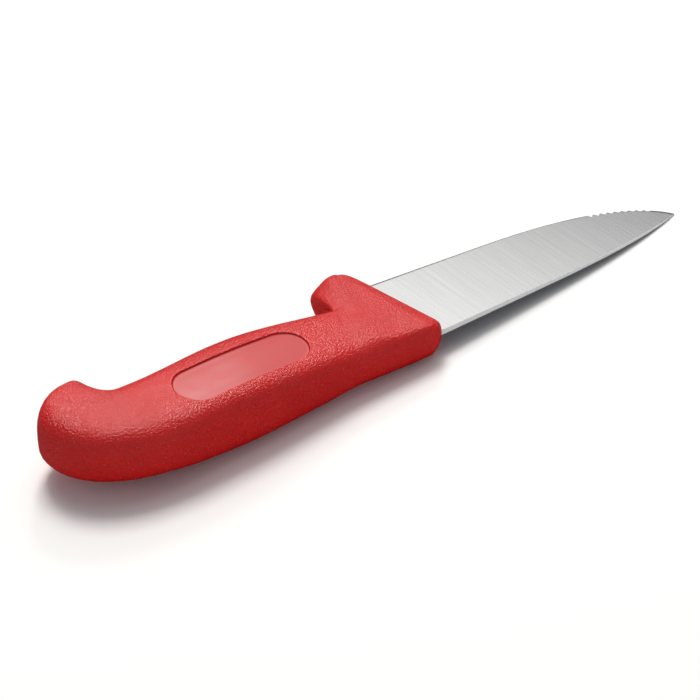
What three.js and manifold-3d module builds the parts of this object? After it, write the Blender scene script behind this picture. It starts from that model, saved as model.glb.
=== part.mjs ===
// Kitchen utility knife with a serrated point: a ground steel blade whose hidden tang is moulded
// into a one-piece plastic handle with a finger guard and a hooked butt.
//
// The knife is drawn in its own plane first. X runs from the butt to the point, Y from the spine to
// the cutting edge and Z across the thickness. X = 0 is where the ground blade begins on the spine side,
// just ahead of the handle's nose, Y = 0 the middle of the heel and Z = 0 the middle of the steel. At the
// end the knife is laid on its side, the way it lies on a table, resting on the handle and on the blade's
// point. All sizes are in millimetres.

import * as THREE from 'three';
import { mergeVertices } from 'three/addons/utils/BufferGeometryUtils.js';
import Module from 'manifold-3d';

const wasm = await Module();
wasm.setup();

// Blade outline
const bladeLength = 110; // from the handle to the point
const heelWidth = 31.8; // spine to edge at the handle
const spineAngle = 3.35; // degrees that the spine leans towards the point
const spineRun = 62.6; // length over which the spine curves down to the point
const spineShoulder = 20.1; // the curve's control, measured back from the point
const edgeAngle = 1.4; // degrees that the straight edge leans towards the point
const bellyRun = 67.5; // length over which the edge curves up to the point
const bellyShoulder = 12.4; // the curve's control, measured back from the point
const pointOffset = 4.6; // the point lies this far on the spine side of the middle line

// Steel thickness and grinding
const stockThickness = 2; // sheet that the blank is stamped from
const groundSpine = 1.9; // left by the flat grind at the spine, next to the handle
const groundEdge = 0.4; // left at the heel of the edge, before sharpening
const groundPoint = 0.84; // left at the point, before sharpening
const bevelAngle = 20; // degrees, each side
const edgeLand = 0.06; // flat left on the sharpened edge

// Serrated stretch of the edge
const toothCount = 9;
const toothPitch = 2.6; // along the edge
const toothDepth = 0.62;
const plainPoint = 7.9; // plain edge between the last tooth and the point, along the edge
const fluteAngle = 10; // degrees between a ground flute and the blade's middle plane
const wheelWidth = 1.4; // of the cutter that grinds a flute, in pitches
const wheelReach = 20; // length of its cut

// Tang
const heelDepth = 16; // full-width steel inside the handle
const tangWidth = 16;
const tangOffset = 5; // the tang's middle lies this far on the spine side
const tangTailCover = 40; // plastic behind the tang
const tangFillet = 4;
const tangHoleCount = 3;
const tangHoleDiameter = 7;

// Handle outline, seen square to the blade. A distance is measured back from the nose, an inset
// forward from the butt and a reach sideways from the middle line.
const handleLength = 127.8;
const spineCover = 2.8; // plastic over the spine at the front
const guardLip = 6; // how far the guard stands past the edge
const frontSlant = 9.3; // the front face lies this much further back at the guard
const guardThickness = 10.5; // along the handle
const guardCornerRun = 2; // rounding of the guard's tip towards the blade
const guardCornerDrop = 0.1;
const guardRearInset = 4; // its rearmost place lies this far below its tip
const guardRootDistance = 26.4; // where the guard runs out into the grip
const guardRootReach = 6.2;
const fadeDistance = 44; // where the guard's shape has faded out on the back
const fadeReach = 18.9;
const bellyDistance = 64; // fullest place of the belly
const bellyReach = 9.9;
const neckInset = 24.8; // finger hollow in front of the hook
const neckReach = 6.4;
const hookInset = 17.6; // tip of the hook
const hookReach = 14.5;
const buttReach = 2.3; // rearmost place of the butt
const backDistance = 78; // crest of the back
const backReach = 20.6;
const palmInset = 29.2; // where the back begins to round into the butt
const palmReach = 20.7;
const railPull = 0.38; // share of a stretch over which its end headings are held

// Handle thickness, as half of the full size
const noseHalf = 5.8;
const guardHalf = 6.75;
const rootHalf = 8.15;
const gripHalf = 10.8;
const palmHalf = 11.1;
const buttHalf = 10.4;

// Shape of the handle's sections. A power of 2 is an ellipse, more is squarer.
const squareFront = 5.8; // on the front of the guard
const roundFront = 2.6; // on the back, next to the nose
const roundHold = 1.6; // above 1, the back stays round further from the nose
const noseSwell = 1.6; // the oval there, before its crown is cut flat, in half thicknesses
const creaseShare = 0.66; // along the guard, where the flat crown's sharp rim has faded
const squareGrip = 4.3; // on the back of the grip
const squareBelly = 2.7; // on its belly, which is rounder for the fingers
const squareButt = 3;
const squareGuard = 1.6; // in the hollow behind the guard's crest
const guardThinning = 0.85; // share of the thickness left in that hollow
const guardSpread = 0.6; // below 1, the guard's shape fades sooner on the back
const crestTip = 0.12; // along the guard, where the hollow starts at the tip
const crestBack = 0.48; // and on the back
const rimShare = 0.8; // and where it ends
const guardScoop = 4.2; // above 1, the hollow is steeper at its start
const buttOnset = 4; // how late the grip takes the butt's shape
const buttFullness = 2.4; // how long the butt keeps its thickness

// Rounding of the front face
const noseBulge = 5.1; // the face stands out this far
const noseWrap = 72; // degrees that the rounding goes round
const noseFullness = 0.7;
const spineCorner = 0.65; // share of the rounding on the spine side
const guardCorner = 0.65; // and at the guard

// Oval recess on one side of the grip
const recessDistance = 68.5; // its middle
const recessOffset = 7.2; // its middle lies this far on the spine side
const recessLength = 45.5;
const recessWidth = 14.5;
const recessDepth = 0.8;

// Fit of the steel in the plastic
const clearance = 0.3;

// Facets
const backPoints = 12; // on the back quarter of a section
const crownPoints = 5; // from its crown to the root of the guard
const bellyPoints = 8; // from there to the belly
const rootLeast = -0.3; // the root's place on a section, as share of the half width
const rootMost = 0.8;
const rootStep = 0.01;
const noseStations = 4;
const guardStations = 24;
const gripStations = 14;
const buttStations = 14;
const edgeSteps = 18;
const fluteSteps = 8;
const roundSteps = 8;

// Colours
const steelColor = 0xc9cacb;
const plasticColor = 0xc8171d;

const { clamp, degToRad: radians, lerp } = THREE.MathUtils;
const quarter = Math.PI / 2;
const overcut = 5; // how far a cutting tool reaches past what it cuts

// A closed geometry as a solid that can be joined and cut.
function toSolid(geometry) {
  geometry.deleteAttribute('normal');
  geometry.deleteAttribute('uv');
  const merged = mergeVertices(geometry, 1e-4);
  return new wasm.Manifold(
    new wasm.Mesh({
      numProp: 3,
      vertProperties: new Float32Array(merged.attributes.position.array),
      triVerts: new Uint32Array(merged.index.array),
    }),
  );
}

// A solid as a geometry that can be shown.
function toGeometry(solid) {
  const { vertProperties, triVerts } = solid.getMesh();
  const geometry = new THREE.BufferGeometry();
  geometry.setAttribute('position', new THREE.BufferAttribute(vertProperties, 3));
  geometry.setIndex(new THREE.BufferAttribute(triVerts, 1));
  geometry.computeVertexNormals();
  return geometry;
}

// A flat shape given a thickness, centred on the middle plane.
function slab(shape, thickness) {
  const settings = { depth: thickness, bevelEnabled: false, curveSegments: roundSteps };
  return toSolid(new THREE.ExtrudeGeometry(shape, settings).translate(0, 0, -thickness / 2));
}

// Rings of equal count joined into a closed skin, with a fan over the first and the last ring.
function loft(rings) {
  const count = rings[0].length;
  const positions = [];
  const index = [];
  for (const ring of rings) {
    for (const corner of ring) positions.push(corner.x, corner.y, corner.z);
  }
  for (let row = 0; row + 1 < rings.length; row++) {
    for (let column = 0; column < count; column++) {
      const a = row * count + column;
      const b = row * count + ((column + 1) % count);
      index.push(a, b, a + count, b, b + count, a + count);
    }
  }
  const lastRow = (rings.length - 1) * count;
  for (let column = 1; column + 1 < count; column++) {
    index.push(0, column + 1, column);
    index.push(lastRow, lastRow + column, lastRow + column + 1);
  }
  const geometry = new THREE.BufferGeometry();
  geometry.setAttribute('position', new THREE.Float32BufferAttribute(positions, 3));
  geometry.setIndex(index);
  return geometry;
}

// PLACES
// Corners of the handle's outline, each with the heading in degrees of the outline there.

const edgeSlope = Math.tan(radians(edgeAngle));
const spineSlope = Math.tan(radians(spineAngle));
const edgeLine = (x) => heelWidth / 2 - x * edgeSlope;
const spineLine = (x) => x * spineSlope - heelWidth / 2;

const coverReach = heelWidth / 2 + spineCover;
const guardReach = heelWidth / 2 + guardLip;
const frontSlope = frontSlant / (coverReach + guardReach - guardCornerDrop);
const noseReach = noseBulge * Math.sin(radians(noseWrap)) * Math.hypot(1, frontSlope);

const frontSpine = { x: -noseReach - clearance, y: -coverReach, heading: 183 };
const guardFront = { x: frontSpine.x - frontSlant, y: guardReach - guardCornerDrop, heading: 100 };
const guardTip = { x: guardFront.x - guardCornerRun, y: guardReach, heading: 180 };
const guardRear = { x: guardFront.x - guardThickness, y: guardReach - guardRearInset, heading: 268 };
const guardRoot = { x: -guardRootDistance, y: guardRootReach, heading: 175 };
const bellyCrest = { x: -bellyDistance, y: bellyReach, heading: 182 };
const neck = { x: neckInset - handleLength, y: neckReach, heading: 180 };
const hook = { x: hookInset - handleLength, y: hookReach, heading: 160 };
const hookOutside = { ...hook, heading: 10 };
const butt = { x: -handleLength, y: buttReach, heading: 90 };
const palm = { x: palmInset - handleLength, y: -palmReach, heading: 175 };
const backCrest = { x: -backDistance, y: -backReach, heading: 180 };
const backFade = { x: -fadeDistance, y: -fadeReach, heading: 183 };

// Where the ground blade begins, along the handle's slanted front.
const frontX = (y) => -frontSlope * (y + coverReach);

// BLADE

const point = new THREE.Vector2(bladeLength, -pointOffset);
const bellyStart = new THREE.Vector2(bladeLength - bellyRun, edgeLine(bladeLength - bellyRun));
const bellyControl = new THREE.Vector2(bladeLength - bellyShoulder, edgeLine(bladeLength - bellyShoulder));
const belly = new THREE.QuadraticBezierCurve(bellyStart, bellyControl, point);

// The steel inside the handle, drawn from the edge side round the tang to the spine side. Growing it
// by the clearance gives the hollow that it lies in.
function drawTang(shape, grow) {
  const shoulder = -heelDepth - grow;
  const tail = tangTailCover - handleLength - grow;
  const half = tangWidth / 2 + grow;
  const fillet = tangFillet - grow;
  const upper = half - tangOffset;
  shape.lineTo(shoulder, edgeLine(shoulder) + grow);
  shape.lineTo(shoulder, upper + fillet);
  shape.absarc(shoulder - fillet, upper + fillet, fillet, 0, -quarter, true);
  shape.lineTo(tail + half, upper);
  shape.absarc(tail + half, -tangOffset, half, quarter, quarter * 3, false);
  shape.lineTo(shoulder, -half - tangOffset);
  shape.lineTo(shoulder, spineLine(shoulder) - grow);
}

// Holes that the plastic flows through, spread along the tang between its shoulder and its tail.
function drillTang(shape, grow) {
  const spacing = (handleLength - tangTailCover - heelDepth) / tangHoleCount;
  for (let hole = 0; hole < tangHoleCount; hole++) {
    const drilled = new THREE.Path();
    const x = -heelDepth - spacing * (hole + 0.5);
    drilled.absarc(x, -tangOffset, tangHoleDiameter / 2 - grow, 0, Math.PI * 2, true);
    shape.holes.push(drilled);
  }
}

// The stamped blank: blade and tang in one piece of sheet.
function blank() {
  const shape = new THREE.Shape();
  shape.moveTo(0, spineLine(0));
  shape.lineTo(bladeLength - spineRun, spineLine(bladeLength - spineRun));
  const control = bladeLength - spineShoulder;
  shape.quadraticCurveTo(control, spineLine(control), point.x, point.y);
  for (const corner of belly.getPoints(edgeSteps).reverse().slice(1)) shape.lineTo(corner.x, corner.y);
  drawTang(shape, 0);
  drillTang(shape, 0);
  return slab(shape, stockThickness);
}

// Half of the steel's thickness once it is ground: one plane through the heel and the point.
const grindAcross = (groundEdge - groundSpine) / 2 / heelWidth;
const grindMiddle = (groundEdge + groundSpine) / 4;
const grindAlong = (groundPoint / 2 - grindMiddle + grindAcross * pointOffset) / bladeLength;
const groundHalf = (x, y) => grindMiddle + grindAlong * x + grindAcross * y;

// What the grinding wheel takes off one side, from the handle to beyond the point.
function grindingCut(side) {
  const outside = heelWidth / 2 + overcut;
  const beyond = bladeLength + overcut;
  const corners = [
    [frontX(-outside), -outside],
    [beyond, -outside],
    [beyond, outside],
    [frontX(outside), outside],
  ];
  const ring = corners.map(([x, y]) => new THREE.Vector3(x, y, groundHalf(x, y) * side));
  const far = corners.map(([x, y]) => new THREE.Vector3(x, y, overcut * side));
  return toSolid(loft(side > 0 ? [ring, far] : [far, ring]));
}

// The edge from heel to point, as places with the direction into the steel.
function edgeStations() {
  const start = frontX(heelWidth / 2);
  const inward = new THREE.Vector2(-edgeSlope, -1).normalize();
  const stations = [{ at: new THREE.Vector2(start, edgeLine(start)), inward }];
  for (let step = 0; step <= edgeSteps; step++) {
    const along = belly.getTangent(step / edgeSteps);
    stations.push({ at: belly.getPoint(step / edgeSteps), inward: new THREE.Vector2(along.y, -along.x) });
  }
  const last = stations.at(-1);
  const onward = new THREE.Vector2(-last.inward.y, last.inward.x).multiplyScalar(overcut);
  stations.push({ at: last.at.clone().add(onward), inward: last.inward });
  return stations;
}

// What sharpening takes off one side: a wedge swept along the edge.
function sharpeningCut(side) {
  const rise = Math.tan(radians(bevelAngle));
  const depth = (stockThickness / 2 + overcut) / rise;
  const rings = edgeStations().map(({ at, inward }) => {
    const outer = at.clone().addScaledVector(inward, -overcut);
    const inner = at.clone().addScaledVector(inward, depth);
    const outerHeight = edgeLand / 2 - overcut * rise;
    const innerHeight = edgeLand / 2 + depth * rise;
    const ring = [
      new THREE.Vector3(outer.x, outer.y, outerHeight * side),
      new THREE.Vector3(inner.x, inner.y, innerHeight * side),
      new THREE.Vector3(outer.x, outer.y, innerHeight * side),
    ];
    return side > 0 ? ring.reverse() : ring;
  });
  return toSolid(loft(rings));
}

// One flute, ground from the upper side at a low angle, so that it scallops the edge.
function fluteCut(distance) {
  const share = 1 - distance / belly.getLength();
  const at = belly.getPointAt(share);
  const along = belly.getTangentAt(share);
  const rise = Math.tan(radians(bevelAngle));
  const sagitta = toothDepth * (rise + Math.tan(radians(fluteAngle)));
  const radius = (toothPitch * toothPitch) / 8 / sagitta + sagitta / 2;
  const halfWidth = (toothPitch * wheelWidth) / 2;
  const reach = Math.asin(halfWidth / radius);
  const profile = new THREE.Shape();
  profile.absarc(0, radius, radius, -quarter - reach, -quarter + reach, false);
  profile.lineTo(halfWidth, overcut);
  profile.lineTo(-halfWidth, overcut);
  const settings = { depth: wheelReach, bevelEnabled: false, curveSegments: fluteSteps };
  const wheel = new THREE.ExtrudeGeometry(profile, settings);
  const towards = new THREE.Vector3(along.y, -along.x, 0);
  const path = towards.clone().multiplyScalar(Math.cos(radians(fluteAngle)));
  path.z = Math.sin(radians(fluteAngle));
  const upward = new THREE.Vector3().crossVectors(path, new THREE.Vector3(along.x, along.y, 0));
  if (upward.z < 0) upward.negate();
  const placed = new THREE.Matrix4().makeBasis(new THREE.Vector3().crossVectors(upward, path), upward, path);
  const seat = new THREE.Vector3(at.x, at.y, -toothDepth * rise).addScaledVector(towards, toothDepth);
  placed.setPosition(seat.addScaledVector(path, -wheelReach / 2));
  return toSolid(wheel.applyMatrix4(placed));
}

function makeBlade() {
  let steel = blank();
  for (const side of [1, -1]) steel = steel.subtract(grindingCut(side)).subtract(sharpeningCut(side));
  for (let tooth = 0; tooth < toothCount; tooth++) {
    steel = steel.subtract(fluteCut(plainPoint + toothPitch * (tooth + 0.5)));
  }
  const material = new THREE.MeshStandardMaterial({ color: steelColor, roughness: 0.32, metalness: 1 });
  const blade = new THREE.Mesh(toGeometry(steel), material);
  blade.name = 'blade';
  return blade;
}

// HANDLE

// A smooth outline through places, following the heading at each.
function rail(...places) {
  const path = new THREE.CurvePath();
  for (let leg = 0; leg + 1 < places.length; leg++) {
    const from = places[leg];
    const to = places[leg + 1];
    const pull = Math.hypot(to.x - from.x, to.y - from.y) * railPull;
    const leave = radians(from.heading);
    const arrive = radians(to.heading);
    path.add(
      new THREE.CubicBezierCurve(
        new THREE.Vector2(from.x, from.y),
        new THREE.Vector2(from.x + pull * Math.cos(leave), from.y + pull * Math.sin(leave)),
        new THREE.Vector2(to.x - pull * Math.cos(arrive), to.y - pull * Math.sin(arrive)),
        new THREE.Vector2(to.x, to.y),
      ),
    );
  }
  return path;
}

const guardRail = rail(guardFront, guardTip, guardRear, guardRoot);
const guardBack = rail(frontSpine, backFade);
const bellyRail = rail(guardRoot, bellyCrest, neck);
const gripBack = rail(backFade, backCrest, palm);
const hookRail = rail(neck, hook);
const buttBack = rail(palm, butt, hookOutside);

// Half thickness along the handle.
const thickness = new THREE.CubicInterpolant(
  [butt.x, neck.x, backCrest.x, bellyCrest.x, guardRoot.x, guardTip.x, frontSpine.x],
  [buttHalf, buttHalf, palmHalf, gripHalf, rootHalf, guardHalf, noseHalf],
  1,
);
const halfAt = (x) => thickness.evaluate(x)[0];

// Height of a squared oval over a place on its width, which runs from 1 on the back to -1 on the belly.
function ovalHeight(across, half, power) {
  return half * Math.max(1 - Math.abs(across) ** power, 0) ** (1 / power);
}

// Height over the back side of a section: an oval that swells past its crown, which is cut flat.
function backHeight(across, grip) {
  return Math.min(grip.half, ovalHeight(across, grip.half * grip.swell, grip.backPower));
}

// Places across a section. One of them lies on the crown's rim and one at the root of the guard.
function spotsAcross(root, grip, ratio) {
  const spots = [];
  const flat = Math.sqrt(1 - grip.swell ** -grip.backPower);
  const rim = 1 - (1 - flat ** (2 / grip.backPower)) / ratio;
  for (let spot = 0; spot < backPoints; spot++) {
    const place = Math.cos((spot / backPoints) * Math.acos(flat)) ** (2 / grip.backPower);
    spots.push(1 - (1 - place) / ratio);
  }
  for (let spot = 0; spot < crownPoints; spot++) spots.push(lerp(rim, -root, spot / crownPoints));
  for (let spot = 0; spot < bellyPoints; spot++) {
    spots.push(-root - (1 - root) * Math.sin((spot / bellyPoints) * quarter));
  }
  return spots;
}

// One section between a place on the back and a place on the belly: a squared oval over the grip's own
// width, and the guard's height over the full width, whichever stands higher.
function section(back, front, grip, guard) {
  const ratio = back.distanceTo(front) / grip.width;
  const body = (across) => {
    const own = 1 - (1 - across) * ratio;
    return own > 0 ? backHeight(own, grip) : ovalHeight(own, grip.half, grip.bellyPower);
  };
  const rise = (across) => (across > 0 ? Math.min(guard(across), backHeight(across, grip)) : guard(across));
  const corner = (across, side) => {
    const place = new THREE.Vector2().lerpVectors(back, front, (1 - across) / 2);
    return new THREE.Vector3(place.x, place.y, Math.max(body(across), rise(across)) * side);
  };
  let root = rootMost;
  while (root > rootLeast && rise(-root) > body(-root)) root -= rootStep;
  const spots = spotsAcross(root, grip, ratio);
  const upper = spots.map((across) => corner(across, 1));
  const lower = spots.slice(1).map((across) => corner(across, -1));
  return [...upper, corner(-1, 0), ...lower.reverse()];
}

// A section of the grip alone.
function plainSection(back, front, half, backPower, bellyPower) {
  const grip = { width: back.distanceTo(front), half, backPower, bellyPower, swell: 1 };
  return section(back, front, grip, () => 0);
}

// A section that the guard stands out of.
function guardedSection(back, front, half, share) {
  const ownShare = (guardRootReach - back.y) / (front.y - back.y);
  const grip = {
    width: back.distanceTo(front) * Math.min(ownShare, 1),
    half,
    backPower: lerp(roundFront, squareGrip, share ** roundHold),
    bellyPower: squareBelly,
    swell: lerp(noseSwell, 1, 1 - (1 - Math.min(share / creaseShare, 1)) ** 2),
  };
  const guard = (across) => {
    const crest = lerp(crestBack, crestTip, (1 - across) / 2);
    const behind = 1 - clamp((rimShare - share) / (rimShare - crest), 0, 1) ** guardScoop;
    const hollow = ovalHeight(across, half * guardThinning, squareGuard);
    return lerp(ovalHeight(across, half, squareFront), hollow, behind);
  };
  return section(back, front, grip, guard);
}

// The rounded front face, from its flat middle back to the first full section.
function noseSections(back, front) {
  const out = new THREE.Vector2(front.y - back.y, back.x - front.x).normalize();
  const rings = [];
  for (let step = noseStations; step >= 1; step--) {
    const angle = radians((step / noseStations) * noseWrap);
    const inset = front.clone().sub(back).setLength((1 - Math.cos(angle)) * noseBulge);
    const shift = out.clone().multiplyScalar(noseBulge * Math.sin(angle));
    const from = back.clone().addScaledVector(inset, spineCorner).add(shift);
    const to = front.clone().addScaledVector(inset, -guardCorner).add(shift);
    rings.push(guardedSection(from, to, noseHalf * Math.cos(angle) ** noseFullness, 0));
  }
  return rings;
}

function handleSections() {
  const rings = noseSections(guardBack.getPoint(0), guardRail.getPoint(0));
  for (let step = 0; step < guardStations; step++) {
    const share = step / guardStations;
    const back = guardBack.getPointAt(share ** guardSpread);
    const front = guardRail.getPointAt(share);
    rings.push(guardedSection(back, front, halfAt((back.x + front.x) / 2), share));
  }
  for (let step = 0; step < gripStations; step++) {
    const share = step / gripStations;
    const back = gripBack.getPointAt(share);
    const front = bellyRail.getPointAt(share);
    const backPower = lerp(squareGrip, squareButt, share ** buttOnset);
    const bellyPower = lerp(squareBelly, squareButt, share ** buttOnset);
    rings.push(plainSection(back, front, halfAt((back.x + front.x) / 2), backPower, bellyPower));
  }
  const full = buttBack.getPoint(0).distanceTo(hookRail.getPoint(0));
  for (let step = 0; step < buttStations; step++) {
    const share = Math.sin((step / buttStations) * quarter);
    const back = buttBack.getPointAt(share);
    const front = hookRail.getPointAt(share);
    const closing = Math.max(1 - back.distanceTo(front) / full, 0);
    const half = buttHalf * Math.sqrt(1 - closing ** buttFullness);
    rings.push(plainSection(back, front, half, squareButt, squareButt));
  }
  rings.push(rings[0].map(() => new THREE.Vector3(hook.x, hook.y, 0)));
  return rings;
}

// The hollow that the tang lies in, open at the front, with plastic standing through the tang's holes.
function tangHollow() {
  const shape = new THREE.Shape();
  shape.moveTo(overcut, spineLine(overcut) - clearance);
  shape.lineTo(overcut, edgeLine(overcut) + clearance);
  drawTang(shape, clearance);
  drillTang(shape, clearance);
  return slab(shape, stockThickness + clearance * 2);
}

// The oval recess, its floor at an even depth below the skin of the handle.
function recessCut(skin) {
  const radius = recessWidth / 2;
  const straight = recessLength / 2 - radius;
  const shape = new THREE.Shape();
  shape.absarc(straight, 0, radius, -quarter, quarter, false);
  shape.absarc(-straight, 0, radius, quarter, quarter * 3, false);
  const settings = { depth: palmHalf, bevelEnabled: false, curveSegments: roundSteps * 2 };
  const tool = new THREE.ExtrudeGeometry(shape, settings);
  tool.translate(-recessDistance, -recessOffset, guardHalf);
  return toSolid(tool).subtract(skin.translate(0, 0, -recessDepth));
}

function makeHandle() {
  const skin = toSolid(loft(handleSections()));
  const body = skin.subtract(recessCut(skin)).subtract(tangHollow());
  const material = new THREE.MeshStandardMaterial({ color: plasticColor, roughness: 0.45, metalness: 0 });
  const handle = new THREE.Mesh(toGeometry(body), material);
  handle.name = 'handle';
  return handle;
}

// REST

function corners(mesh) {
  const places = mesh.geometry.attributes.position;
  return Array.from({ length: places.count }, (_, at) => new THREE.Vector3().fromBufferAttribute(places, at));
}

// The slope at which the knife lies on a flat surface, touching it with the handle and the blade.
function restingSlope(blade, handle) {
  const body = corners(handle);
  const ahead = corners(blade).filter((corner) => corner.x > overcut);
  const slopes = ahead.map((low) => Math.max(...body.map((high) => (low.z - high.z) / (low.x - high.x))));
  return Math.atan(Math.min(...slopes));
}

const blade = makeBlade();
const handle = makeHandle();
const knife = new THREE.Group();
knife.add(blade, handle);
knife.rotation.y = restingSlope(blade, handle);
knife.updateMatrixWorld(true);

const box = new THREE.Box3().setFromObject(knife, true);
const middle = box.getCenter(new THREE.Vector3());
knife.position.set(-middle.x, -middle.y, -box.min.z);

const part = new THREE.Group();
part.add(knife);
part.updateMatrixWorld(true);

export default part;
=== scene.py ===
"""Looks of a kitchen utility knife: a ground steel blade in a one-shot moulded handle.

The meshes are drawn in the knife's own plane, in millimetres: X runs from the butt to the point, Y from
the spine to the cutting edge and Z across the thickness. A Lay then brings them into the row frame, in
metres, the way the knife lies on its side.
"""

import logging
import math
from bisect import bisect_right
from collections.abc import Callable, Sequence
from dataclasses import dataclass, field
from enum import Enum
from itertools import accumulate

import bmesh
import bpy
from bmesh.types import BMesh, BMEdge, BMVert
from bpy.types import Material, Node, NodeSocket, NodeTree, Object, World
from mathutils import Euler, Matrix, Vector
from mathutils.bvhtree import BVHTree
from mathutils.geometry import interpolate_bezier


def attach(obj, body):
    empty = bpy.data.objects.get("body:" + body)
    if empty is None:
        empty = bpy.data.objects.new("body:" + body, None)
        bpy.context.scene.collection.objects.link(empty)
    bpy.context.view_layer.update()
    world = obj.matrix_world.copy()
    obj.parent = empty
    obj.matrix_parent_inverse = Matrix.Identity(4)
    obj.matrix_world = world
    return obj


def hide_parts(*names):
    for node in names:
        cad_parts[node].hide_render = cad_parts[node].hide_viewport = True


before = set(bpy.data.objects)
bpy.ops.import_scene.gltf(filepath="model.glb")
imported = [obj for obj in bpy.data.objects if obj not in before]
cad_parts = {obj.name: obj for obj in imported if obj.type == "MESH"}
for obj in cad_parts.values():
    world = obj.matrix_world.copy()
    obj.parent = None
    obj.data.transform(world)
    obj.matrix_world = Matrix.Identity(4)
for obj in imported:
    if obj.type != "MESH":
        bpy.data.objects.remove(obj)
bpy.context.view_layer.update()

LOG = logging.getLogger("knife")
MILLIMETRE = 0.001
BODY = "root"
TINY = 1e-9
FAR = 40.0  # millimetres past anything that a tool cuts
UPRIGHT = 1e-3  # millimetres along the knife, below which an edge of the blade stands upright
HEEL_WIDTH = 31.8  # millimetres across the blade where it enters the handle
CUBIC = 2 / 3  # how far a cubic curve's controls lie towards the control of a quadratic one
MIX_LOW, MIX_HIGH, MIX_RESULT = 6, 7, 2  # a Mix node's sockets for colours

Colour = tuple[float, float, float]
Point = tuple[float, float, float]


class Slot(Enum):
    """The record's material slots."""

    STEEL = "blade_steel"
    PLASTIC = "handle_plastic"


class Side(Enum):
    """The two sides of the blade, as the sign of their height."""

    UPPER = 1
    LOWER = -1


# Helpers for meshes


def blend(low: float, high: float, share: float) -> float:
    """A value between two others."""
    return low + (high - low) * share


def soft_max(first: float, second: float, fillet: float) -> float:
    """The greater of two heights, which run together where they differ by less than the fillet."""
    overlap = max(fillet - abs(first - second), 0.0) / max(fillet, TINY)
    return max(first, second) + overlap * overlap * fillet / 4


def soft_min(first: float, second: float, fillet: float) -> float:
    """The lesser of two heights, which run together where they differ by less than the fillet."""
    return -soft_max(-first, -second, fillet)


def oval(across: float, half: float, power: float) -> float:
    """Height of a squared oval over a place on its width, from 1 on the back to -1 on the belly."""
    return half * max(1 - abs(across) ** power, 0.0) ** (1 / power)


def ring_edges(ring: Sequence[BMVert], mesh: BMesh) -> list[BMEdge]:
    """The edges between the neighbours of a closed ring, one for each corner."""
    return [mesh.edges.get((a, b)) for a, b in zip(ring, [*ring[1:], ring[0]])]


def next_ring(mesh: BMesh, ring: Sequence[BMVert], spots: Sequence[Vector]) -> list[BMVert]:
    """Extrudes a ring and moves the new one to its place.

    Args:
        mesh: the mesh to draw in.
        ring: the corners of the ring before.
        spots: where the new corners lie.

    Returns:
        The new corners, in the order of the old ones.
    """
    made = bmesh.ops.extrude_edge_only(mesh, edges=ring_edges(ring, mesh))["geom"]
    fresh = {part for part in made if isinstance(part, BMVert)}
    following = [
        next(edge.other_vert(corner) for edge in corner.link_edges if edge.other_vert(corner) in fresh)
        for corner in ring
    ]
    for corner, spot in zip(following, spots):
        corner.co = spot
    return following


def loft(mesh: BMesh, sections: Sequence[Sequence[Vector]]) -> tuple[list[BMVert], list[BMVert]]:
    """A skin through closed sections.

    Args:
        mesh: the mesh to draw in.
        sections: the rings that it runs through, with equal counts of corners.

    Returns:
        The corners of the first and of the last ring.
    """
    first, *others = sections
    start = bmesh.ops.create_circle(mesh, segments=len(first), radius=1.0)["verts"]
    for corner, spot in zip(start, first):
        corner.co = spot
    ring = start
    for spots in others:
        ring = next_ring(mesh, ring, spots)
    return start, ring


def cap(mesh: BMesh, ring: Sequence[BMVert]) -> None:
    """Closes a ring with one face."""
    bmesh.ops.contextual_create(mesh, geom=ring_edges(ring, mesh))


def closed_prism(outline: Sequence[Vector], low: float, high: float) -> BMesh:
    """A flat outline given a thickness.

    Args:
        outline: the corners of the outline.
        low: height of its lower face.
        high: height of its upper face.

    Returns:
        A new mesh with the prism.
    """
    mesh = bmesh.new()
    corners = [mesh.verts.new((spot.x, spot.y, low)) for spot in outline]
    floor = mesh.faces.new(corners)
    made = bmesh.ops.extrude_face_region(mesh, geom=[floor])["geom"]
    raised = [part for part in made if isinstance(part, BMVert)]
    bmesh.ops.translate(mesh, verts=raised, vec=(0, 0, high - low))
    bmesh.ops.recalc_face_normals(mesh, faces=mesh.faces)
    return mesh


def to_object(mesh: BMesh, name: str) -> Object:
    """Makes an object of a finished mesh and frees the working mesh.

    Args:
        mesh: the working mesh.
        name: name of the object.

    Returns:
        The object, linked to the scene.
    """
    bmesh.ops.recalc_face_normals(mesh, faces=mesh.faces)
    data = bpy.data.meshes.new(name)
    mesh.to_mesh(data)
    mesh.free()
    made = bpy.data.objects.new(name, data)
    bpy.context.scene.collection.objects.link(made)
    return made


def round_bar(name: str, radius: float, length: float, segments: int, place: Matrix) -> Object:
    """A round bar, to cut with.

    Args:
        name: name of the object.
        radius: its radius.
        length: its length.
        segments: how many flats stand for the round.
        place: where it lies, with its axis along Z.

    Returns:
        The bar.
    """
    mesh = bmesh.new()
    bmesh.ops.create_cone(
        mesh, cap_ends=True, segments=segments, radius1=radius, radius2=radius, depth=length, matrix=place
    )
    return to_object(mesh, name)


def cut(body: Object, tools: Sequence[Object]) -> None:
    """Takes the shapes of tools out of a body and removes the tools.

    Args:
        body: the object that is cut.
        tools: closed meshes.
    """
    for tool in tools:
        step = body.modifiers.new(tool.name, "BOOLEAN")
        step.operation = "DIFFERENCE"
        step.solver = "EXACT"
        step.object = tool
    shaped = bpy.data.meshes.new_from_object(body.evaluated_get(bpy.context.evaluated_depsgraph_get()))
    body.modifiers.clear()
    worn, body.data = body.data, shaped
    shaped.name = worn.name
    bpy.data.meshes.remove(worn)
    for tool in tools:
        data = tool.data
        bpy.data.objects.remove(tool)
        bpy.data.meshes.remove(data)


# Finishes


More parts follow.
